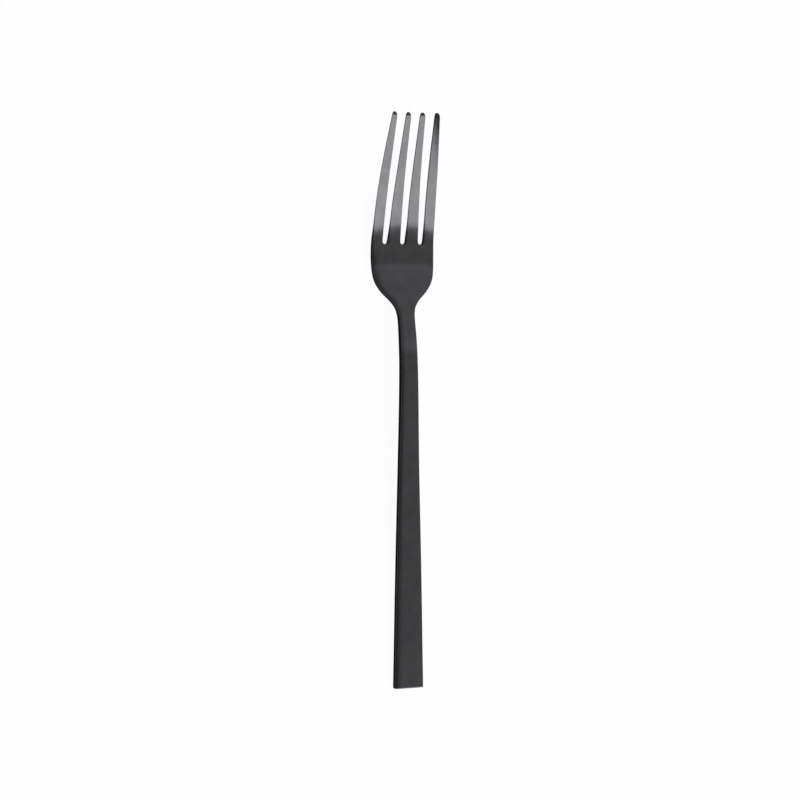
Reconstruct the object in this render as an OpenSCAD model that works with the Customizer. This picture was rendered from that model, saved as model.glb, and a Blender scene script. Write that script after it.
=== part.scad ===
// Four-tine dinner fork, stamped and forged from one steel blank, with a flat bar handle.
// It lies on its back with the tines towards +Y and the hollow side up. Millimetres.
// The origin is on the table, under the middle of the fork's length and width.
// Each region of the blank is its own solid, and neighbours share the section where they meet.

/* [Lengths] */
// Handle, from its square butt to the crown of its arch
handle_length = 116.5; // [90:0.5:150]
// Neck, from the crown down to the shoulders
neck_length = 20; // [14:0.5:30]
// Palm, from the shoulders to the bottoms of the slots
palm_length = 23.4; // [18:0.2:32]
// Tines, from the bottoms of the slots to the tips
tine_length = 44.9; // [34:0.1:60]

/* [Widths] */
// Handle at the butt
butt_width = 10.9; // [8:0.1:16]
// Handle at the crown of its arch
crown_width = 6.1; // [5:0.1:8]
// Neck at its narrowest
neck_width = 5.8; // [4.5:0.1:7.5]
// Palm at its widest
palm_width = 23.4; // [20:0.1:28]
// Across all four tips, outside to outside
tips_width = 17.7; // [15:0.1:20]
// Each slot at its root
slot_root_width = 2.1; // [1.4:0.1:2.6]
// Each slot at the tips
slot_tip_width = 3.2; // [2.6:0.1:3.6]
// Side slot's middle from the fork's middle, at the root
side_slot_root = 6.7; // [6:0.05:7.2]
// Side slot's middle from the fork's middle, at the tips
side_slot_tip = 5.25; // [4.9:0.05:5.6]

/* [Thicknesses] */
// Handle at the butt
butt_thickness = 2.6; // [1.8:0.1:3.4]
// Handle at the crown of its arch, where the bar is thickest
crown_thickness = 3.6; // [2.6:0.1:4.6]
// Palm
palm_thickness = 2.3; // [1.6:0.1:3]
// Tines at the tips
tip_thickness = 1.1; // [0.9:0.1:1.8]

/* [Edges] */
// Rounding along every edge
edge_radius = 0.25; // [0.15:0.05:0.5]
// Rounding along the front edges of the tines, which are crisper
tine_edge_radius = 0.15; // [0.1:0.05:0.4]
// Width of a tine's back, as a share of its front
tine_back_share = 0.75; // [0.6:0.05:1]
// Lean of the front at its outer edges, where it slopes softly down
soft_edge_lean = 8.5; // [0:0.5:12]
// Width of that slope, as a share of half the bar's width
soft_edge_share = 0.55; // [0.2:0.05:0.9]

/* [Heights] */
// Middle of the bar at the crown, above the table
crown_height = 6.6; // [4:0.1:10]
// Rise of the tips above the low point of the palm
tine_rise = 16.7; // [10:0.1:22]
// Extra lift of the outer tines' outer edges at the tips, which makes the tines a shallow dish
dish_depth = 0.7; // [0:0.05:1.2]

/* [Hidden] */

coated_steel = [0.13, 0.13, 0.14];

// How far a slot's cutter runs past the end of the palm
overrun = slot_root_width;
// Facets of a rounded corner, extra points across the front, and sections along each region
corner_steps = 3;
front_point_shares = [0.12, 0.26, 0.5, 0.74, 0.88];
handle_stations = 17;
neck_stations = 10;
palm_stations = 16;
root_stations = 4;
tine_stations = 10;
// Angles round a rounded end, from the end inwards, and the least share of its radius kept there
end_angles = [88, 65, 40, 15];
least_share = 0.2;
// Most of a section's lesser side that one rounded corner may take
corner_limit_share = 0.45;
// Thickness left at the very end of a tine, whose front is rounded down towards its back
nose_thickness_share = 0.25;
// Where the last full section of a tine stands, in half widths of the tip from its end
nose_start_share = 1.3;
// Share of the palm's length at which the soft slopes begin to fade, to be gone at the tines
soft_fade_share = 0.7;
// How much of a tine's length its section takes to change from the palm's to its own
root_blend_share = 0.15;
// How the dish grows along the tines
dish_power = 1.2;

// Distances along the fork, from the butt
neck_start = handle_length;
palm_start = neck_start + neck_length;
slot_bottom = palm_start + palm_length;
tine_start = slot_bottom + slot_root_width / 2;
tip_end = slot_bottom + tine_length;
middle = tip_end / 2;
tine_root_end = tine_start + root_blend_share * (tip_end - tine_start);
soft_fade_start = palm_start + soft_fade_share * palm_length;

// Shape of the arch, as shares of the handle's length and of the rise from butt to crown.
// The first stretch is straight, so the grip is flat there, above and below.
arch_shares = [[0, 0], [0.37, 0.37], [0.71, 0.71], [0.9, 0.955], [1, 1]];
// The dip: shares of the neck's length, then of the palm's, each with a share of the crown's drop
neck_drop_shares = [[0.5, 0.14], [0.8, 0.33], [1, 0.495]];
palm_drop_shares = [[0.42, 0.86], [0.78, 1]];
// The sweep: shares of the free length of a tine and of the rise of the tips
sweep_shares = [[0.03, 0.045], [0.31, 0.245], [0.63, 0.57], [1, 1]];

cut_height = 2 * (crown_height + tine_rise);
butt_mid = butt_thickness / 2;
palm_mid = palm_thickness / 2;
drop = crown_height - palm_mid;
line_knots = concat(
    [for (p = arch_shares) [p[0] * handle_length, butt_mid + p[1] * (crown_height - butt_mid)]],
    [for (p = neck_drop_shares) [neck_start + p[0] * neck_length, crown_height - p[1] * drop]],
    [for (p = palm_drop_shares) [palm_start + p[0] * palm_length, crown_height - p[1] * drop]],
    [for (p = sweep_shares) [tine_start + p[0] * (tip_end - tine_start), palm_mid + p[1] * tine_rise]]);

// Half widths: shares of a length, and of the way from one named width to the next
handle_taper_shares = [[0, 0], [0.365, 0.34], [0.71, 0.75], [1, 1]];
neck_waist_shares = [[0.35, 0.4], [0.65, 1], [0.85, 0.95]];
shoulder_shares = [[0, 0.05], [0.13, 0.275], [0.26, 0.625], [0.43, 0.895], [0.6, 0.978], [0.8, 1]];
head_taper_shares = [[0, 0.035], [0.26, 0.105], [0.6, 0.4], [1, 1]];
outline_knots = concat(
    [for (p = handle_taper_shares) [p[0] * handle_length, between(butt_width, crown_width, p[1]) / 2]],
    [for (p = neck_waist_shares)
        [neck_start + p[0] * neck_length, between(crown_width, neck_width, p[1]) / 2]],
    [for (p = shoulder_shares)
        [palm_start + p[0] * palm_length, between(neck_width, palm_width, p[1]) / 2]],
    [for (p = head_taper_shares)
        [tine_start + p[0] * (tip_end - tine_start), between(palm_width, tips_width, p[1]) / 2]]);

// Thicknesses, in the same way
handle_thickness_shares = [[0, 0], [0.37, 0.28], [0.74, 0.56], [1, 1]];
neck_thickness_shares = [[0.55, 0.15], [1, 0.58]];
palm_thickness_shares = [[0.5, 0.96], [0.8, 1]];
tine_thickness_shares = [[0.1, 0.2], [0.5, 0.6], [1, 1]];
thickness_knots = concat(
    [for (p = handle_thickness_shares)
        [p[0] * handle_length, between(butt_thickness, crown_thickness, p[1])]],
    [for (p = neck_thickness_shares)
        [neck_start + p[0] * neck_length, between(crown_thickness, palm_thickness, p[1])]],
    [for (p = palm_thickness_shares)
        [palm_start + p[0] * palm_length, between(crown_thickness, palm_thickness, p[1])]],
    [for (p = tine_thickness_shares)
        [tine_start + p[0] * (tip_end - tine_start), between(palm_thickness, tip_thickness, p[1])]]);

// Slots, from the tine start to the tips
slot_width_shares = [[0, 0], [0.26, 0.09], [0.6, 0.52], [1, 1]];
slot_drift_shares = [[0, 0], [0.26, 0.26], [0.6, 0.65], [1, 1]];
slot_width_knots = [for (p = slot_width_shares)
    [tine_start + p[0] * (tip_end - tine_start), between(slot_root_width, slot_tip_width, p[1])]];
side_slot_knots = [for (p = slot_drift_shares)
    [tine_start + p[0] * (tip_end - tine_start), between(side_slot_root, side_slot_tip, p[1])]];

function between(a, b, share) = a + (b - a) * share;

// Smooth curve through knots [along, value], with each slope taken from the two neighbours
function slope_at(k, i) =
    let (a = max(i - 1, 0), b = min(i + 1, len(k) - 1)) (k[b][1] - k[a][1]) / (k[b][0] - k[a][0]);
function span_of(k, s, i = 0) = i >= len(k) - 2 || s < k[i + 1][0] ? i : span_of(k, s, i + 1);
function smooth(k, s) =
    let (i = span_of(k, s), w = k[i + 1][0] - k[i][0], t = min(max((s - k[i][0]) / w, 0), 1),
         m0 = slope_at(k, i) * w, m1 = slope_at(k, i + 1) * w)
    k[i][1] * (1 + 2 * t) * (1 - t) * (1 - t) + m0 * t * (1 - t) * (1 - t)
    + k[i + 1][1] * t * t * (3 - 2 * t) - m1 * t * t * (1 - t);

function half_width(s) = smooth(outline_knots, s);
function thickness(s) = smooth(thickness_knots, s);
function line_height(s) = smooth(line_knots, s);
function slot_width(s) = smooth(slot_width_knots, s);
function side_slot(s) = smooth(side_slot_knots, s);

// Angle of the fork's middle line at s, over a short step each way
probe = edge_radius;
function tilt(s) =
    let (a = max(s - probe, 0), b = min(s + probe, tip_end))
    atan2(line_height(b) - line_height(a), b - a);

// Share of the way from the palm's section to a tine's own
function root_blend(s) =
    min(max(s - tine_start, 0) / (root_blend_share * (tip_end - tine_start)), 1);

// Share of the soft slope that is left at s: whole on the bar, and gone on the free tines
function soft_fade(s) =
    let (t = min(max((s - soft_fade_start) / (tine_start - soft_fade_start), 0), 1))
    1 - t * t * (3 - 2 * t);

// Fall of the front near the fork's outer edges
function soft_fall(x, s) =
    let (w = soft_edge_share * min(half_width(s), butt_width / 2), inward = (half_width(s) - abs(x)) / w)
    tan(soft_edge_lean) * w / 2 * pow(max(1 - inward, 0), 2) * soft_fade(s);

// Where a point of the blank ends up: x across, s along, up off the middle of the metal.
// The soft fall is whole at the front and gone at the middle of the metal.
function dish_at(s) = dish_depth * pow(max(s - tine_start, 0) / (tip_end - tine_start), dish_power);
function bent(x, s, up) =
    let (u = up - soft_fall(x, s) * max(2 * up / thickness(s), 0))
    [x, s - middle - u * sin(tilt(s)),
     line_height(s) + u * cos(tilt(s)) + dish_at(s) * pow(2 * x / tips_width, 2)];

// Section of the metal at s, from x0 to x1 and from low to high: a rectangle with rounded corners,
// whose back is narrower than its front by the given share
function section(x0, x1, s, low, high, front = edge_radius, back = edge_radius, back_share = 1) =
    let (limit = min(high - low, x1 - x0) * corner_limit_share, mid = (x0 + x1) / 2,
         f = min(front, limit), b = min(back, limit),
         corners = [[x1 - f, high - f, f, 0], [x0 + f, high - f, f, 90],
                    [x0 + b, low + b, b, 180], [x1 - b, low + b, b, 270]],
         arcs = [for (c = corners) [for (j = [0 : corner_steps])
             let (a = c[3] + 90 * j / corner_steps) [c[0] + c[2] * cos(a), c[1] + c[2] * sin(a)]]],
         face = [for (m = front_point_shares) [between(x1 - f, x0 + f, m), high]])
    [for (p = concat(arcs[0], face, arcs[1], arcs[2], arcs[3]))
        bent(between(p[0], between(mid, p[0], back_share), (high - p[1]) / (high - low)), s, p[1])];

// Solid through a row of sections that all have the same number of points
module skin(sections) {
    n = len(sections[0]);
    last = len(sections) - 1;
    sides = [for (i = [0 : last - 1], j = [0 : n - 1])
        let (a = i * n + j, b = i * n + (j + 1) % n)
        each [[a, a + n, b + n], [a, b + n, b]]];
    polyhedron(points = [for (ring = sections) each ring],
               faces = concat(sides, [[for (j = [0 : n - 1]) j]],
                              [[for (j = [n - 1 : -1 : 0]) last * n + j]]));
}

// Places along the fork at equal steps
function steps(from, to, count) = [for (i = [0 : count]) from + (to - from) * i / count];

// Sections of the bar across its whole width
function across(s, inset = 0, radius = edge_radius) =
    section(inset - half_width(s), half_width(s) - inset, s,
            inset - thickness(s) / 2, thickness(s) / 2 - inset, radius, radius);

// Both edges of every tine at s, from left to right
function tine_edges(s) = let (h = half_width(s), c = side_slot(s), w = slot_width(s) / 2)
    [[-h, -c - w], [w - c, -w], [w, c - w], [c + w, h]];

module handle() color(coated_steel) skin(concat(
    // The butt is square, with its edges rounded like the rest
    [for (a = end_angles) across(edge_radius * (1 - sin(a)), edge_radius * (1 - cos(a)),
                                 edge_radius * max(cos(a), least_share))],
    [for (s = steps(2 * edge_radius, neck_start, handle_stations)) across(s)]));

module neck() color(coated_steel)
    skin([for (s = steps(neck_start, palm_start, neck_stations)) across(s)]);

module palm() color(coated_steel) difference() {
    skin([for (s = steps(palm_start, tine_start, palm_stations)) across(s)]);
    for (x = [-side_slot_root, 0, side_slot_root]) translate([x, tine_start - middle, 0]) {
        cylinder(h = cut_height, d = slot_root_width, center = true, $fn = 48);
        translate([-slot_root_width / 2, 0, -cut_height / 2])
            cube([slot_root_width, overrun, cut_height]);
    }
}

// Section of a tine, whose edges and back change over its root. Near the tip it is drawn in by an
// angle: both sides move to the middle, and the front moves down towards the back.
function tine_section(number, s, a = 0) =
    let (x = tine_edges(s)[number], mid = (x[0] + x[1]) / 2, half = (x[1] - x[0]) / 2 * cos(a),
         low = -thickness(s) / 2, high = low + thickness(s) * between(nose_thickness_share, 1, cos(a)))
    section(mid - half, mid + half, s, low, high,
            between(edge_radius, tine_edge_radius, root_blend(s)), edge_radius,
            between(1, tine_back_share, root_blend(s)));

// One tine, numbered from the left, with a rounded nose
module tine(number) color(coated_steel) {
    nose = (tine_edges(tip_end)[number][1] - tine_edges(tip_end)[number][0]) / 2;
    skin(concat(
        [for (s = steps(tine_start, tine_root_end, root_stations)) tine_section(number, s)],
        [for (s = steps(tine_root_end, tip_end - nose * nose_start_share, tine_stations))
            if (s > tine_root_end) tine_section(number, s)],
        [for (i = [len(end_angles) - 1 : -1 : 0])
            let (s = tip_end - nose * (1 - sin(end_angles[i]))) tine_section(number, s, end_angles[i])]));
}

module left_outer_tine() tine(0);
module left_inner_tine() tine(1);
module right_inner_tine() tine(2);
module right_outer_tine() tine(3);

handle();
neck();
palm();
left_outer_tine();
left_inner_tine();
right_inner_tine();
right_outer_tine();
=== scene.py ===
"""A dinner fork of coated steel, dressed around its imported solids.

The blank is cut flat as a coarse cage, given its thickness and soft edges, pressed to its curve,
smoothed, and then parted at the same sections as the solids that its pieces replace.
"""

import math

import bmesh
import bpy
from mathutils import Matrix, Vector


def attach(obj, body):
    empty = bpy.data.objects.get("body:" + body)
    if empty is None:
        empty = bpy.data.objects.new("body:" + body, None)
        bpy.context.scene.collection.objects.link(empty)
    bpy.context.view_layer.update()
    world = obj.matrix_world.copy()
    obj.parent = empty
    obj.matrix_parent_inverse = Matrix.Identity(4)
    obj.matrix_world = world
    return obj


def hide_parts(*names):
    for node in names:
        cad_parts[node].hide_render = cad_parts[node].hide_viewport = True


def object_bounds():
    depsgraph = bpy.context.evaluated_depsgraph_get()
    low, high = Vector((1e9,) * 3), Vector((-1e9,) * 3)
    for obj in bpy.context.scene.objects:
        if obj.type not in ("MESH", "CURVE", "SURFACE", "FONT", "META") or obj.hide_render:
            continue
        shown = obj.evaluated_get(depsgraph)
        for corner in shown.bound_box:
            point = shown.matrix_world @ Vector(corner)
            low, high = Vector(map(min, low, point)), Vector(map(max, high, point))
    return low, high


bl_info = {
    "name": "Dinner Fork",
    "version": (1, 0, 0),
    "blender": (4, 5, 0),
    "location": "3D View > Sidebar > Fork",
    "description": "A four-tine dinner fork in satin black coated steel",
    "category": "Object",
}

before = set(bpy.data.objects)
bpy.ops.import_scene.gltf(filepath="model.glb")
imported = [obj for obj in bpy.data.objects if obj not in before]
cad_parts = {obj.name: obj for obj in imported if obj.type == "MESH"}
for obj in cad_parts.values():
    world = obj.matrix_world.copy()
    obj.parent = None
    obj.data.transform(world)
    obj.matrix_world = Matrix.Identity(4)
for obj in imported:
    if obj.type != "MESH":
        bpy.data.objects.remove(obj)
solid_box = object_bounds()

MM = 0.001
TOUCHING = 0.001 * MM

# Shares along each stretch of the fork, and of the way from one size to the next
ARCH_SHARES = [(0, 0), (0.37, 0.37), (0.71, 0.71), (0.9, 0.955), (1, 1)]
NECK_DROP_SHARES = [(0.5, 0.14), (0.8, 0.33), (1, 0.495)]
PALM_DROP_SHARES = [(0.42, 0.86), (0.78, 1)]
SWEEP_SHARES = [(0.03, 0.045), (0.31, 0.245), (0.63, 0.57), (1, 1)]
HANDLE_TAPER_SHARES = [(0, 0), (0.365, 0.34), (0.71, 0.75), (1, 1)]
NECK_WAIST_SHARES = [(0.35, 0.4), (0.65, 1), (0.85, 0.95)]
SHOULDER_SHARES = [(0, 0.05), (0.13, 0.275), (0.26, 0.625), (0.43, 0.895), (0.6, 0.978), (0.8, 1)]
HEAD_TAPER_SHARES = [(0, 0.035), (0.26, 0.105), (0.6, 0.4), (1, 1)]
HANDLE_THICKNESS_SHARES = [(0, 0), (0.37, 0.28), (0.74, 0.56), (1, 1)]
NECK_THICKNESS_SHARES = [(0.55, 0.15), (1, 0.58)]
PALM_THICKNESS_SHARES = [(0.5, 0.96), (0.8, 1)]
TINE_THICKNESS_SHARES = [(0.1, 0.2), (0.5, 0.6), (1, 1)]
SLOT_WIDTH_SHARES = [(0, 0), (0.26, 0.09), (0.6, 0.52), (1, 1)]
SLOT_DRIFT_SHARES = [(0, 0), (0.26, 0.26), (0.6, 0.65), (1, 1)]
DISH_POWER = 1.2
ROOT_BLEND_SHARE = 0.15
SOFT_FADE_SHARE = 0.7

# Rows of the cage: how many lie along each stretch
HANDLE_ROWS = 14
NECK_ROWS = 8
SHOULDER_ROWS = 14
TINE_ROWS = 14

# The last rows' distances from an end: at the butt as shares of the edges' diameter, and at the
# tips as shares of the nose's radius, with the shares of width and of thickness that go with them
BUTT_ROW_SHARES = (0, 0.7, 2.5)
NOSE_ROW_SHARES = (2.2, 1.1, 0.5, 0)
NOSE_WIDTH_SHARES = (1, 1, 0.92, 0.6)
NOSE_DROP_SHARES = (0, 0.04, 0.2, 0.5)
SLOT_ROUNDING_SHARE = 0.8

# The cage's lengthwise lines: on each tine from edge to edge, and on the bar from its middle
# outwards
TINE_LINE_SHARES = (-1, -0.7, 0, 0.7, 1)
BAR_LINE_SHARES = (0.05, 0.15, 0.26, 0.37, 0.47, 0.57, 0.66, 0.75, 0.85, 1)
LINES = len(TINE_LINE_SHARES)
GRID_HALF = 0.5
SMOOTHING_LEVELS = 3
EDGE_SEGMENTS = 2
EDGE_PROFILE = 0.5

# On the flat blank, an edge is part of the rim where its two faces' upward shares differ by more
# than the first number, and a face whose upward share is below the second is one of the cut sides
RIM_LIMIT = 0.5
# The cut sides found this way get the coating's copy with painted shade
SIDE_LIMIT = 0.7

# Noises of the coating, whose scales count from a metre, and how far its gloss drifts either way
GRAIN_SCALE = 9000
GRAIN_DETAIL = 3
GRAIN_STRETCH = (1, 0.02, 1)
CLOUD_SCALE = 220
CLOUD_DETAIL = 4
GLOSS_DRIFT = 0.03

# Directions, as parts of a whole, between which the room's light changes
RIGHT_LIGHT_SPAN = (-0.02, 0.33)
BACK_LIGHT_SPAN = (0.14, 0.22)
BACK_LINE_SPAN = (0.15, 0.22, 0.27)
GLOW_SPAN = (-0.21, -0.13, -0.05)
WALL_LIGHT_SPAN = (0.35, 0.7)

FLOOR_GAP = 0.02 * MM
SENSOR_WIDTH = 36
NEAREST_SEEN = 10 * MM

TINES = ("left_outer_tine", "left_inner_tine", "right_inner_tine", "right_outer_tine")


def length_prop(name, description, millimetres, least=0):
    """A size, kept in metres and shown in the scene's unit."""
    return bpy.props.FloatProperty(name=name, description=description, default=millimetres * MM,
                                   min=least, unit="LENGTH", precision=5)


class ForkSizes(bpy.types.PropertyGroup):
    """The fork's driving sizes, which are those of its solids."""

    handle_length: length_prop("Handle length", "From the butt to the crown of the arch", 116.5)
    neck_length: length_prop("Neck length", "From the crown down to the shoulders", 20)
    palm_length: length_prop("Palm length", "From the shoulders to the bottoms of the slots", 23.4)
    tine_length: length_prop("Tine length", "From the bottoms of the slots to the tips", 44.9)
    butt_width: length_prop("Butt width", "Handle at the butt", 10.9)
    crown_width: length_prop("Crown width", "Handle at the crown of its arch", 6.1)
    neck_width: length_prop("Neck width", "Neck at its narrowest", 5.8)
    palm_width: length_prop("Palm width", "Palm at its widest", 23.4)
    tips_width: length_prop("Tips width", "Across all four tips", 17.7)
    slot_root_width: length_prop("Slot root width", "Each slot at its root", 2.1)
    slot_tip_width: length_prop("Slot tip width", "Each slot at the tips", 3.2)
    side_slot_root: length_prop("Side slot root", "Side slot's middle at the root", 6.7)
    side_slot_tip: length_prop("Side slot tip", "Side slot's middle at the tips", 5.25)
    butt_thickness: length_prop("Butt thickness", "Handle at the butt", 2.6)
    crown_thickness: length_prop("Crown thickness", "Handle at the crown of its arch", 3.6)
    palm_thickness: length_prop("Palm thickness", "Palm at its low point", 2.3)
    tip_thickness: length_prop("Tip thickness", "Tines at the tips", 1.1)
    edge_radius: length_prop("Edge radius", "Rounding along every edge", 0.25)
    tine_edge_radius: length_prop("Tine edge radius", "Rounding along the tines' front edges", 0.15)
    tine_back_share: bpy.props.FloatProperty(
        name="Tine back", description="Width of a tine's back, as a share of its front",
        subtype="FACTOR", min=0, max=1, default=0.75)
    soft_edge_lean: bpy.props.FloatProperty(
        name="Soft edge lean",
        description="Lean of the front at its outer edges, where it slopes down",
        subtype="ANGLE", default=math.radians(8.5))
    soft_edge_share: bpy.props.FloatProperty(
        name="Soft edge", description="Width of that slope, as a share of half the bar's width",
        subtype="FACTOR", min=0, max=1, default=0.55)
    crown_height: length_prop("Crown height", "Height of the bar's middle at the crown", 6.6)
    tine_rise: length_prop("Tine rise", "Rise of the tips above the low point of the palm", 16.7)
    dish_depth: length_prop("Dish depth", "Lift of the outer tines' outer edges at the tips", 0.7)


class ForkFinish(bpy.types.PropertyGroup):
    """The look of the coating."""

    coat_colour: bpy.props.FloatVectorProperty(
        name="Coating colour", description="Black of the coated steel", subtype="COLOR",
        size=3, min=0, max=1, default=(0.0583, 0.0576, 0.0608))
    face_tint: bpy.props.FloatProperty(
        name="Face tint",
        description="How much of their gloss the flat faces keep at a grazing angle",
        subtype="FACTOR", min=0, max=1, default=0.6)
    # Painted shade: the cut sides keep less gloss at a grazing angle, so they read dark as if in
    # shade
    painted_side_shade: bpy.props.FloatProperty(
        name="Painted side shade", description="The same for the cut sides, which are duller",
        subtype="FACTOR", min=0, max=1, default=0.31)
    coat_roughness: bpy.props.FloatProperty(
        name="Roughness", description="How satin the coating is", subtype="FACTOR",
        min=0, max=1, default=0.11)
    mottling: bpy.props.FloatProperty(
        name="Mottling", description="How far the depth of colour drifts over a few millimetres",
        subtype="FACTOR", min=0, max=1, default=0.24)
    grain_depth: bpy.props.FloatProperty(
        name="Grain depth", description="Height of the fine lengthwise grain under the coating",
        min=0, default=0.004 * MM, unit="LENGTH", precision=6)


class ForkStudio(bpy.types.PropertyGroup):
    """The floor, the softbox, the room's light and the camera."""

    floor_size: length_prop("Floor size", "Side of the square floor", 12000)
    floor_colour: bpy.props.FloatVectorProperty(
        name="Floor colour", description="Pale floor under the fork", subtype="COLOR",
        size=3, min=0, max=1, default=(0.9, 0.9, 0.9))
    floor_white: bpy.props.FloatProperty(
        name="Floor white", description="Share of plain white in the floor as it is seen",
        subtype="FACTOR", min=0, max=1, default=0.95)
    softbox_distance: length_prop("Softbox distance", "From the fork to the softbox", 4000)
    softbox_side: bpy.props.FloatProperty(
        name="Softbox side", description="Softbox's angle from above towards the fork's right",
        subtype="ANGLE", default=math.radians(25))
    softbox_lean: bpy.props.FloatProperty(
        name="Softbox lean", description="Softbox's angle from above towards the butt",
        subtype="ANGLE", default=math.radians(45.8))
    softbox_turn: bpy.props.FloatProperty(
        name="Softbox turn", description="Softbox's turn in its own plane, its right end downwards",
        subtype="ANGLE", default=math.radians(15))
    softbox_width: length_prop("Softbox width", "Across the fork", 2530)
    softbox_height: length_prop("Softbox height", "Along the fork", 3280)
    softbox_light: bpy.props.FloatProperty(
        name="Softbox light", description="How bright the softbox's face is, where 1 is white",
        min=0, default=3.95)
    room_left: bpy.props.FloatProperty(
        name="Room left", description="Light from overhead and from the left", min=0, default=0.19)
    room_right: bpy.props.FloatProperty(
        name="Room right", description="Light from the right", min=0, default=0.77)
    room_back: bpy.props.FloatProperty(
        name="Room back", description="Light that is added beyond the tips", min=0, default=0.22)
    room_line: bpy.props.FloatProperty(
        name="Room line", description="Brighter line at the edge of that light", min=0, default=0.2)
    room_glow: bpy.props.FloatProperty(
        name="Room glow", description="Faint glow above the handle", min=0, default=0.08)
    room_walls: bpy.props.FloatProperty(
        name="Room walls", description="Light from all sides near the floor", min=0, default=1)
    camera_lean: bpy.props.FloatProperty(
        name="Camera lean",
        description="Camera's angle from straight above, towards the fork's left",
        subtype="ANGLE", default=math.radians(19))
    camera_pitch: bpy.props.FloatProperty(
        name="Camera pitch", description="Camera's tilt along the fork", subtype="ANGLE",
        default=math.radians(-0.26))
    camera_roll: bpy.props.FloatProperty(
        name="Camera roll", description="Turn of the picture", subtype="ANGLE",
        default=math.radians(0.79))
    camera_distance: length_prop("Camera distance", "From the lens to the middle of the fork", 642)
    camera_right: length_prop("Camera right", "Camera moved to the picture's right", -1.113, -1)
    camera_up: length_prop("Camera up", "Camera moved to the picture's top", 1.4, -1)
    focal_length: bpy.props.FloatProperty(
        name="Focal length", description="Focal length for a 36 mm sensor, in millimetres",
        min=1, default=80.0)


def between(a, b, share):
    return a + (b - a) * share


def smooth(knots, s):
    """Value at s of a smooth curve through the knots, each slope taken from the two neighbours."""

    def slope(i):
        a, b = max(i - 1, 0), min(i + 1, len(knots) - 1)
        return (knots[b][1] - knots[a][1]) / (knots[b][0] - knots[a][0])

    i = 0
    while i < len(knots) - 2 and s >= knots[i + 1][0]:
        i += 1
    width = knots[i + 1][0] - knots[i][0]
    t = min(max((s - knots[i][0]) / width, 0), 1)
    start, end = slope(i) * width, slope(i + 1) * width
    return (knots[i][1] * (1 + 2 * t) * (1 - t) ** 2 + start * t * (1 - t) ** 2
            + knots[i + 1][1] * t * t * (3 - 2 * t) - end * t * t * (1 - t))


def crisper(distance, radius, share):
    """Draws what lies within a radius of an edge closer to it, and eases back over another."""
    if distance < radius:
        return distance * share
    if distance < 2 * radius:
        return radius * share + (distance - radius) * (2 - share)
    return distance


def stretch(shares, start, length, first, last):
    """Knots of one stretch: places along it, and sizes on the way from first to last."""
    return [(start + a * length, between(first, last, b)) for a, b in shares]


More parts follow.
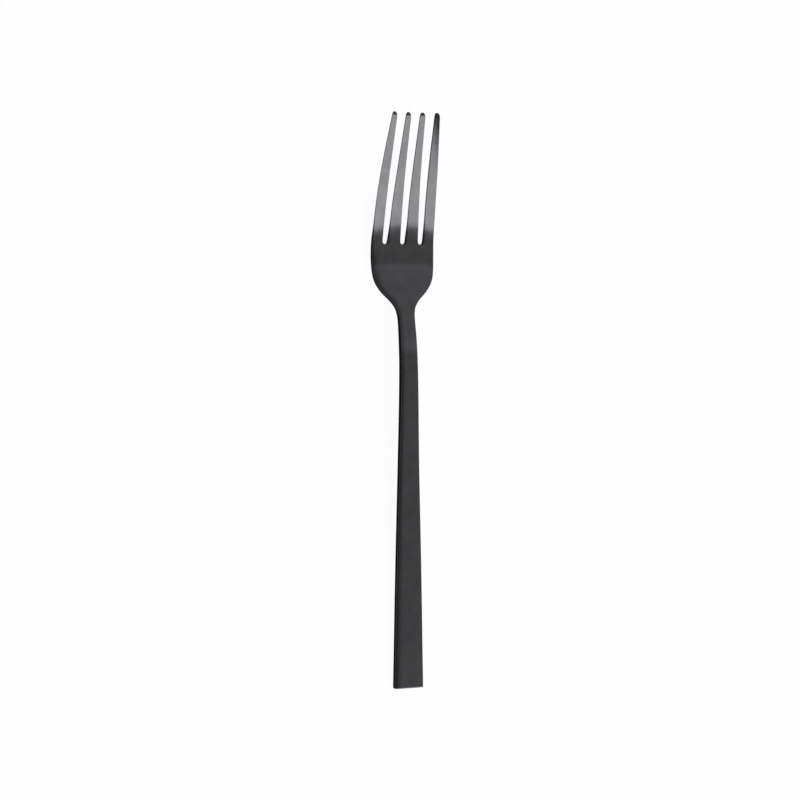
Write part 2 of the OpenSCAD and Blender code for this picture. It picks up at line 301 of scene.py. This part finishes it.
class Blank:
    """The fork's outline, thickness and curve, as functions of the distance s from the butt."""

    def __init__(self, z):
        self.edge_radius = z.edge_radius
        self.tine_edge_radius = z.tine_edge_radius
        self.tine_back_share = z.tine_back_share
        self.soft_edge_fall = math.tan(z.soft_edge_lean)
        self.soft_edge_share = z.soft_edge_share
        self.butt_half = z.butt_width / 2
        self.neck_start = z.handle_length
        self.palm_start = self.neck_start + z.neck_length
        self.slot_bottom = self.palm_start + z.palm_length
        self.tine_start = self.slot_bottom + z.slot_root_width / 2
        self.tip_end = self.slot_bottom + z.tine_length
        self.middle = self.tip_end / 2
        self.free_length = self.tip_end - self.tine_start
        self.soft_fade_start = self.palm_start + SOFT_FADE_SHARE * z.palm_length
        self.tips_width = z.tips_width
        self.dish_depth = z.dish_depth
        self.parting_width = (z.side_slot_root + z.side_slot_tip) / 2
        handle, neck = (0, z.handle_length), (self.neck_start, z.neck_length)
        palm, tines = (self.palm_start, z.palm_length), (self.tine_start, self.free_length)
        low = z.palm_thickness / 2
        self.line_knots = (
            stretch(ARCH_SHARES, *handle, z.butt_thickness / 2, z.crown_height)
            + stretch(NECK_DROP_SHARES, *neck, z.crown_height, low)
            + stretch(PALM_DROP_SHARES, *palm, z.crown_height, low)
            + stretch(SWEEP_SHARES, *tines, low, low + z.tine_rise))
        self.outline_knots = (
            stretch(HANDLE_TAPER_SHARES, *handle, z.butt_width / 2, z.crown_width / 2)
            + stretch(NECK_WAIST_SHARES, *neck, z.crown_width / 2, z.neck_width / 2)
            + stretch(SHOULDER_SHARES, *palm, z.neck_width / 2, z.palm_width / 2)
            + stretch(HEAD_TAPER_SHARES, *tines, z.palm_width / 2, z.tips_width / 2))
        self.thickness_knots = (
            stretch(HANDLE_THICKNESS_SHARES, *handle, z.butt_thickness, z.crown_thickness)
            + stretch(NECK_THICKNESS_SHARES, *neck, z.crown_thickness, z.palm_thickness)
            + stretch(PALM_THICKNESS_SHARES, *palm, z.crown_thickness, z.palm_thickness)
            + stretch(TINE_THICKNESS_SHARES, *tines, z.palm_thickness, z.tip_thickness))
        self.slot_knots = stretch(SLOT_WIDTH_SHARES, *tines, z.slot_root_width, z.slot_tip_width)
        self.side_slot_knots = stretch(SLOT_DRIFT_SHARES, *tines, z.side_slot_root, z.side_slot_tip)

    def half_width(self, s):
        return smooth(self.outline_knots, s)

    def thickness(self, s):
        return smooth(self.thickness_knots, s)

    def tilt(self, s):
        """Angle of the middle line at s."""
        a, b = max(s - self.edge_radius, 0), min(s + self.edge_radius, self.tip_end)
        rise = smooth(self.line_knots, b) - smooth(self.line_knots, a)
        return math.atan2(rise, b - a)

    def tine_edges(self, s):
        """Both edges of each tine at s, from left to right."""
        outer = self.half_width(s)
        side, slot = smooth(self.side_slot_knots, s), smooth(self.slot_knots, s) / 2
        return [(-outer, -side - slot), (slot - side, -slot),
                (slot, side - slot), (side + slot, outer)]

    def tine_lines(self, s):
        return [between((a + b) / 2, b, share)
                for a, b in self.tine_edges(s) for share in TINE_LINE_SHARES]

    def lines(self, s):
        """Where the cage's lengthwise lines cross s: even on the bar, and then the tines' own."""
        if s >= self.tine_start:
            return self.tine_lines(s)
        half = self.half_width(s)
        even = [-share for share in reversed(BAR_LINE_SHARES)] + list(BAR_LINE_SHARES)
        root = self.half_width(self.tine_start)
        share = min(max((s - self.palm_start) / (self.slot_bottom - self.palm_start), 0), 1)
        return [half * between(a, b / root, share)
                for a, b in zip(even, self.tine_lines(self.tine_start))]

    def root_blend(self, s):
        """Share of the way from the palm's section to a tine's own."""
        return min(max(s - self.tine_start, 0) / (ROOT_BLEND_SHARE * self.free_length), 1)

    def tine_section(self, x, s, up):
        """Moves a point of a tine: its front edges drawn crisper, and its back narrower."""
        blend, half_thickness = self.root_blend(s), self.thickness(s) / 2
        number = sum(x > parting for parting in (-self.parting_width, 0, self.parting_width))
        left, right = self.tine_edges(s)[number]
        middle, half = (left + right) / 2, (right - left) / 2
        out, rise = abs(x - middle), up
        if up > 0:
            crispness = between(1, self.tine_edge_radius / self.edge_radius, blend)
            out = half - crisper(half - out, self.edge_radius, crispness)
            rise = half_thickness - crisper(half_thickness - up, self.edge_radius, crispness)
        back_share = between(1, self.tine_back_share, blend)
        out *= between(1, back_share, (1 - up / half_thickness) / 2)
        return middle + math.copysign(out, x - middle), rise

    def soft_fall(self, x, s):
        """Fall of the front near the fork's outer edges."""
        half = self.half_width(s)
        width = self.soft_edge_share * min(half, self.butt_half)
        t = min(max((s - self.soft_fade_start) / (self.tine_start - self.soft_fade_start), 0), 1)
        fall = self.soft_edge_fall * width / 2 * max(1 - (half - abs(x)) / width, 0) ** 2
        return fall * (1 - t * t * (3 - 2 * t))

    def bent(self, x, s, up):
        """Where a point of the flat blank lies once it is pressed."""
        tilt = self.tilt(s)
        up -= self.soft_fall(x, s) * max(2 * up / self.thickness(s), 0)
        along = max(s - self.tine_start, 0) / self.free_length
        dish = self.dish_depth * along ** DISH_POWER * (2 * x / self.tips_width) ** 2
        height = smooth(self.line_knots, s) + up * math.cos(tilt) + dish
        return Vector((x, s - self.middle - up * math.sin(tilt), height))


def rows(blank):
    """Places of the cage's crosswise rows, from the butt to the tips."""
    radius = blank.edge_radius
    left, right = blank.tine_edges(blank.tip_end)[0]
    nose = (right - left) / 2

    def even(start, end, count):
        return [between(start, end, i / count) for i in range(count)]

    places = [share * radius * 2 for share in BUTT_ROW_SHARES]
    places += even(places[-1], blank.neck_start, HANDLE_ROWS)[1:]
    places += even(blank.neck_start, blank.palm_start, NECK_ROWS)
    places += even(blank.palm_start, blank.slot_bottom, SHOULDER_ROWS)
    root = blank.tine_start - blank.slot_bottom
    places += [blank.slot_bottom, blank.tine_start]
    free = even(blank.tine_start + root, blank.tip_end - nose * NOSE_ROW_SHARES[0], TINE_ROWS)
    places += free + [blank.tip_end - nose * share for share in NOSE_ROW_SHARES]
    return places


def cage(blank):
    """The blank as a coarse closed cage: cut flat, given its edges, then pressed to its curve."""
    places = rows(blank)
    columns = len(blank.lines(0)) - 1
    bm = bmesh.new()
    bmesh.ops.create_grid(bm, x_segments=columns, y_segments=len(places) - 1,
                          size=GRID_HALF)
    slot_row = places.index(blank.slot_bottom)
    column = {v: round((v.co.x + GRID_HALF) * columns) for v in bm.verts}
    row = {v: round((v.co.y + GRID_HALF) * (len(places) - 1)) for v in bm.verts}
    slots = [f for f in bm.faces
             if min(row[v] for v in f.verts) >= slot_row
             and min(column[v] for v in f.verts) % LINES == LINES - 1]
    first_nose = len(places) - len(NOSE_ROW_SHARES)
    for v in bm.verts:
        s, c = places[row[v]], column[v]
        lines = blank.lines(s)
        x = lines[c]
        if row[v] == slot_row and 0 < c < columns and c % LINES in (0, LINES - 1):
            # The slot's bottom corners are drawn in, so that smoothing makes it round
            other = lines[c - 1] if c % LINES == 0 else lines[c + 1]
            x = between((x + other) / 2, x, SLOT_ROUNDING_SHARE)
        if row[v] >= first_nose:
            middle = lines[c - c % LINES + LINES // 2]
            x = between(middle, x, NOSE_WIDTH_SHARES[row[v] - first_nose])
        v.co = (x, s, 0)
    bmesh.ops.delete(bm, geom=slots, context="FACES")
    bmesh.ops.recalc_face_normals(bm, faces=bm.faces)
    bmesh.ops.solidify(bm, geom=bm.faces, thickness=blank.edge_radius)
    level = sum(v.co.z for v in bm.verts) / len(bm.verts)
    nose_drops = dict(zip(places[first_nose:], NOSE_DROP_SHARES))
    for v in bm.verts:
        thickness = blank.thickness(v.co.y)
        drop = next((share for s, share in nose_drops.items() if abs(s - v.co.y) < TOUCHING), 0)
        v.co.z = thickness / 2 - thickness * drop if v.co.z > level else -thickness / 2
    bmesh.ops.recalc_face_normals(bm, faces=bm.faces)
    rim = [e for e in bm.edges
           if abs(abs(e.link_faces[0].normal.z) - abs(e.link_faces[1].normal.z)) > RIM_LIMIT]
    bmesh.ops.bevel(bm, geom=rim, offset=blank.edge_radius, offset_type="OFFSET",
                    segments=EDGE_SEGMENTS, profile=EDGE_PROFILE, affect="EDGES", material=-1)
    bm.normal_update()
    # Faces that face sideways are the cut sides and take the second material, which has painted
    # shade
    for face in bm.faces:
        face.material_index = int(abs(face.normal.z) < SIDE_LIMIT)
    for v in bm.verts:
        x, s, up = v.co
        if s > blank.tine_start:
            x, up = blank.tine_section(x, s, up)
        v.co = blank.bent(x, s, up)
    bmesh.ops.recalc_face_normals(bm, faces=bm.faces)
    return bm


def smoothed_blank(blank):
    """The whole pressed blank as one smooth mesh, made once and kept for every piece."""
    if "smooth_blank" not in bpy.data.meshes:
        bm = cage(blank)
        coarse = bpy.data.meshes.new("cage")
        bm.to_mesh(coarse)
        bm.free()
        holder = bpy.data.objects.new("cage", coarse)
        bpy.context.scene.collection.objects.link(holder)
        smoothing = holder.modifiers.new("Smoothing", "SUBSURF")
        smoothing.levels = SMOOTHING_LEVELS
        smoothing.render_levels = SMOOTHING_LEVELS
        settled = holder.evaluated_get(bpy.context.evaluated_depsgraph_get())
        mesh = bpy.data.meshes.new_from_object(settled)
        mesh.name = "smooth_blank"
        bpy.data.objects.remove(holder)
        bpy.data.meshes.remove(coarse)
    bm = bmesh.new()
    bm.from_mesh(bpy.data.meshes["smooth_blank"])
    return bm


def part_at(bm, blank, s, keep_far_side):
    """Cuts the mesh square to its middle line at s, keeps one side and closes the cut."""
    tilt = blank.tilt(s)
    everything = bm.verts[:] + bm.edges[:] + bm.faces[:]
    cut = bmesh.ops.bisect_plane(
        bm, geom=everything, dist=TOUCHING, plane_co=blank.bent(0, s, 0),
        plane_no=(0, math.cos(tilt), math.sin(tilt)),
        clear_inner=keep_far_side, clear_outer=not keep_far_side)
    edges = [g for g in cut["geom_cut"] if isinstance(g, bmesh.types.BMEdge)]
    caps = bmesh.ops.edgeloop_fill(bm, edges=edges)["faces"]
    for face in caps:
        face.smooth = False
        for edge in face.edges:
            edge.smooth = False


def make_piece(name, blank, start=None, end=None, left=None, right=None):
    """One region of the fork, from start to end and, for a tine, between two lengthwise planes."""
    bm = smoothed_blank(blank)
    for face in bm.faces:
        face.smooth = True
    if start is not None:
        part_at(bm, blank, start, True)
    if end is not None:
        part_at(bm, blank, end, False)
    if left is not None:
        others = [v for v in bm.verts if not left < v.co.x < right]
        bmesh.ops.delete(bm, geom=others, context="VERTS")
    mesh = bpy.data.meshes.new(name)
    bm.to_mesh(mesh)
    bm.free()
    piece = bpy.data.objects.new(name + "_skin", mesh)
    bpy.context.scene.collection.objects.link(piece)
    finish = bpy.context.scene.fork_finish
    mesh.materials.append(coated_steel("Satin black coated faces", finish.face_tint))
    # The second slot is a copy of the coating with painted shade, for the cut sides
    mesh.materials.append(coated_steel("Satin black sides in painted shade", finish.painted_side_shade))
    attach(piece, "root")
    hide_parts(name)
    return piece


def coated_steel(name, grazing_tint_and_side_shade):
    """Satin black coating over steel with a fine lengthwise grain."""
    material = bpy.data.materials.get(name)
    if material:
        return material
    finish = bpy.context.scene.fork_finish
    material = bpy.data.materials.new(name)
    material.use_nodes = True
    nodes, links = material.node_tree.nodes, material.node_tree.links
    shader = nodes["Principled BSDF"]
    shader.inputs["Metallic"].default_value = 1
    # Tint of the gloss at a grazing angle: the faces' own, and lowered on the sides' copy as
    # painted shade
    shader.inputs["Specular Tint"].default_value = (grazing_tint_and_side_shade, grazing_tint_and_side_shade, grazing_tint_and_side_shade, 1)
    place = nodes.new("ShaderNodeTexCoord")

    # Grain: noise drawn out along the fork
    drawn = nodes.new("ShaderNodeMapping")
    drawn.inputs["Scale"].default_value = GRAIN_STRETCH
    links.new(place.outputs["Object"], drawn.inputs["Vector"])
    grain = nodes.new("ShaderNodeTexNoise")
    grain.inputs["Scale"].default_value = GRAIN_SCALE
    grain.inputs["Detail"].default_value = GRAIN_DETAIL
    links.new(drawn.outputs["Vector"], grain.inputs["Vector"])
    bump = nodes.new("ShaderNodeBump")
    bump.inputs["Distance"].default_value = finish.grain_depth
    links.new(grain.outputs["Fac"], bump.inputs["Height"])
    links.new(bump.outputs["Normal"], shader.inputs["Normal"])

    # The coating varies a little in gloss and depth of colour
    cloud = nodes.new("ShaderNodeTexNoise")
    cloud.inputs["Scale"].default_value = CLOUD_SCALE
    cloud.inputs["Detail"].default_value = CLOUD_DETAIL
    links.new(place.outputs["Object"], cloud.inputs["Vector"])
    gloss = nodes.new("ShaderNodeMapRange")
    gloss.inputs["To Min"].default_value = finish.coat_roughness - GLOSS_DRIFT
    gloss.inputs["To Max"].default_value = finish.coat_roughness + GLOSS_DRIFT
    links.new(cloud.outputs["Fac"], gloss.inputs["Value"])
    links.new(gloss.outputs["Result"], shader.inputs["Roughness"])
    tone = nodes.new("ShaderNodeMix")
    tone.data_type = "RGBA"
    colour = Vector(finish.coat_colour)
    tone.inputs["A"].default_value = (*(colour * (1 - finish.mottling)), 1)
    tone.inputs["B"].default_value = (*(colour * (1 + finish.mottling)), 1)
    links.new(cloud.outputs["Fac"], tone.inputs["Factor"])
    links.new(tone.outputs["Result"], shader.inputs["Base Color"])
    return material


class FORK_OT_handle(bpy.types.Operator):
    """Flat bar handle with a square butt"""

    bl_idname = "fork.handle"
    bl_label = "Handle"

    def execute(self, context):
        blank = Blank(context.scene.fork_sizes)
        make_piece("handle", blank, end=blank.neck_start)
        return {"FINISHED"}


class FORK_OT_neck(bpy.types.Operator):
    """Waisted neck that dips from the crown to the shoulders"""

    bl_idname = "fork.neck"
    bl_label = "Neck"

    def execute(self, context):
        blank = Blank(context.scene.fork_sizes)
        make_piece("neck", blank, start=blank.neck_start, end=blank.palm_start)
        return {"FINISHED"}


class FORK_OT_palm(bpy.types.Operator):
    """Palm with its shoulders and the round bottoms of the slots"""

    bl_idname = "fork.palm"
    bl_label = "Palm"

    def execute(self, context):
        blank = Blank(context.scene.fork_sizes)
        make_piece("palm", blank, start=blank.palm_start, end=blank.tine_start)
        return {"FINISHED"}


class FORK_OT_tines(bpy.types.Operator):
    """Four tapering tines with rounded noses"""

    bl_idname = "fork.tines"
    bl_label = "Tines"

    def execute(self, context):
        blank = Blank(context.scene.fork_sizes)
        bounds = [-blank.half_width(blank.tine_start) * 2, -blank.parting_width, 0,
                  blank.parting_width, blank.half_width(blank.tine_start) * 2]
        for name, left, right in zip(TINES, bounds, bounds[1:]):
            make_piece(name, blank, start=blank.tine_start, left=left, right=right)
        return {"FINISHED"}


class FORK_OT_stage(bpy.types.Operator):
    """Pale floor, softbox, room light and the camera"""

    bl_idname = "fork.stage"
    bl_label = "Stage"

    def execute(self, context):
        studio = context.scene.fork_studio
        make_floor(studio)
        make_softbox(studio)
        make_room(studio)
        make_camera(studio)
        return {"FINISHED"}


def make_floor(studio):
    """A plain floor that is nearly white to the camera and in reflections, and takes a shadow."""
    bm = bmesh.new()
    bmesh.ops.create_grid(bm, x_segments=1, y_segments=1, size=studio.floor_size / 2)
    mesh = bpy.data.meshes.new("floor")
    bm.to_mesh(mesh)
    bm.free()
    floor = bpy.data.objects.new("floor", mesh)
    bpy.context.scene.collection.objects.link(floor)
    floor.location.z = solid_box[0][2] - FLOOR_GAP
    mesh.materials.append(pale_floor(studio))


def pale_floor(studio):
    """Matt floor, mixed with plain white where the camera or a reflection sees it."""
    material = bpy.data.materials.new("Pale floor")
    material.use_nodes = True
    nodes, links = material.node_tree.nodes, material.node_tree.links
    matt = nodes["Principled BSDF"]
    matt.inputs["Base Color"].default_value = (*studio.floor_colour, 1)
    matt.inputs["Roughness"].default_value = 1
    matt.inputs["Specular IOR Level"].default_value = 0
    white = nodes.new("ShaderNodeEmission")
    ray = nodes.new("ShaderNodeLightPath")
    seen = ray.outputs["Is Camera Ray"]
    for kind in ("Is Glossy Ray", "Is Transmission Ray"):
        either = nodes.new("ShaderNodeMath")
        either.operation = "MAXIMUM"
        links.new(seen, either.inputs[0])
        links.new(ray.outputs[kind], either.inputs[1])
        seen = either.outputs["Value"]
    share = nodes.new("ShaderNodeMath")
    share.operation = "MULTIPLY"
    share.inputs[1].default_value = studio.floor_white
    links.new(seen, share.inputs[0])
    surface = nodes.new("ShaderNodeMixShader")
    links.new(share.outputs["Value"], surface.inputs["Fac"])
    links.new(matt.outputs["BSDF"], surface.inputs[1])
    links.new(white.outputs["Emission"], surface.inputs[2])
    links.new(surface.outputs["Shader"], nodes["Material Output"].inputs["Surface"])
    return material


def make_softbox(studio):
    """Large far softbox over the butt's end, which the rising tines reflect."""
    side, lean = studio.softbox_side, studio.softbox_lean
    outward = Vector((math.sin(side), -math.cos(side) * math.sin(lean),
                      math.cos(side) * math.cos(lean)))
    level = Vector((1, 0, 0))
    level = (level - outward * level.dot(outward)).normalized()
    across = Matrix.Rotation(-studio.softbox_turn, 3, outward) @ level
    data = bpy.data.lights.new("softbox", "AREA")
    data.shape = "RECTANGLE"
    data.size = studio.softbox_width
    data.size_y = studio.softbox_height
    data.energy = studio.softbox_light * math.pi * studio.softbox_width * studio.softbox_height
    softbox = bpy.data.objects.new("softbox", data)
    softbox.matrix_world = Matrix((across, outward.cross(across), outward)).transposed().to_4x4()
    softbox.location = outward * studio.softbox_distance
    bpy.context.scene.collection.objects.link(softbox)


def make_room(studio):
    """Light of the room: dim overhead and on the left, lighter on the right and beyond the tips."""
    world = bpy.data.worlds.new("studio")
    bpy.context.scene.world = world
    world.use_nodes = True
    nodes, links = world.node_tree.nodes, world.node_tree.links
    place = nodes.new("ShaderNodeTexCoord")
    parts = nodes.new("ShaderNodeSeparateXYZ")
    links.new(place.outputs["Generated"], parts.inputs["Vector"])

    def grade(axis, start, end, first, last):
        """Strength that goes smoothly from first to last as the direction turns along an axis."""
        step = nodes.new("ShaderNodeMapRange")
        step.interpolation_type = "SMOOTHSTEP"
        step.inputs["From Min"].default_value = start
        step.inputs["From Max"].default_value = end
        step.inputs["To Min"].default_value = first
        step.inputs["To Max"].default_value = last
        links.new(parts.outputs[axis], step.inputs["Value"])
        return step.outputs["Result"]

    def strip(start, peak, end, light):
        """Light that rises along Y from start to its peak, and falls again to the end."""
        return grade("Y", start, peak, 0, light), grade("Y", peak, end, 0, -light)

    total = grade("X", *RIGHT_LIGHT_SPAN, studio.room_left, studio.room_right)
    for light in (grade("Y", *BACK_LIGHT_SPAN, 0, studio.room_back),
                  *strip(*BACK_LINE_SPAN, studio.room_line), *strip(*GLOW_SPAN, studio.room_glow)):
        both = nodes.new("ShaderNodeMath")
        links.new(total, both.inputs[0])
        links.new(light, both.inputs[1])
        total = both.outputs["Value"]
    strength = nodes.new("ShaderNodeMix")
    strength.inputs["B"].default_value = studio.room_walls
    links.new(grade("Z", *WALL_LIGHT_SPAN, 1, 0), strength.inputs["Factor"])
    links.new(total, strength.inputs["A"])
    background = nodes["Background"]
    background.inputs["Color"].default_value = (1, 1, 1, 1)
    links.new(strength.outputs["Result"], background.inputs["Strength"])


def make_camera(studio):
    """Camera above the fork, leaning towards its left, framed as in the photograph."""
    lean, pitch, roll = studio.camera_lean, studio.camera_pitch, studio.camera_roll
    across = Vector((math.cos(lean), 0, math.sin(lean)))
    upward = Vector((-math.sin(lean) * math.sin(pitch), math.cos(pitch),
                     math.cos(lean) * math.sin(pitch)))
    right = across * math.cos(roll) - upward * math.sin(roll)
    up = across * math.sin(roll) + upward * math.cos(roll)
    back = right.cross(up)
    data = bpy.data.cameras.new("camera")
    data.sensor_width = SENSOR_WIDTH
    data.lens = studio.focal_length
    data.clip_start = NEAREST_SEEN
    camera = bpy.data.objects.new("camera", data)
    place = back * studio.camera_distance + right * studio.camera_right + up * studio.camera_up
    camera.matrix_world = Matrix((right, up, back)).transposed().to_4x4()
    camera.location = place
    bpy.context.scene.collection.objects.link(camera)
    bpy.context.scene.camera = camera


class FORK_PT_panel(bpy.types.Panel):
    """Lists the fork's pieces and the stage"""

    bl_label = "Dinner Fork"
    bl_space_type = "VIEW_3D"
    bl_region_type = "UI"
    bl_category = "Fork"

    def draw(self, context):
        for operator in OPERATORS:
            self.layout.operator(operator.bl_idname)
        scene = context.scene
        for group in (scene.fork_sizes, scene.fork_finish, scene.fork_studio):
            for name in group.bl_rna.properties.keys():
                if name not in ("rna_type", "name"):
                    self.layout.prop(group, name)


GROUPS = (ForkSizes, ForkFinish, ForkStudio)
OPERATORS = (FORK_OT_handle, FORK_OT_neck, FORK_OT_palm, FORK_OT_tines, FORK_OT_stage)


def register():
    for cls in (*GROUPS, *OPERATORS, FORK_PT_panel):
        bpy.utils.register_class(cls)
    bpy.types.Scene.fork_sizes = bpy.props.PointerProperty(type=ForkSizes)
    bpy.types.Scene.fork_finish = bpy.props.PointerProperty(type=ForkFinish)
    bpy.types.Scene.fork_studio = bpy.props.PointerProperty(type=ForkStudio)


def unregister():
    del bpy.types.Scene.fork_studio
    del bpy.types.Scene.fork_finish
    del bpy.types.Scene.fork_sizes
    for cls in reversed((*GROUPS, *OPERATORS, FORK_PT_panel)):
        bpy.utils.unregister_class(cls)


def main():
    register()
    bpy.ops.fork.stage()
    bpy.ops.fork.handle()
    bpy.ops.fork.neck()
    bpy.ops.fork.palm()
    bpy.ops.fork.tines()
    bpy.context.scene.view_settings.view_transform = "Standard"


if __name__ == "__main__":
    main()
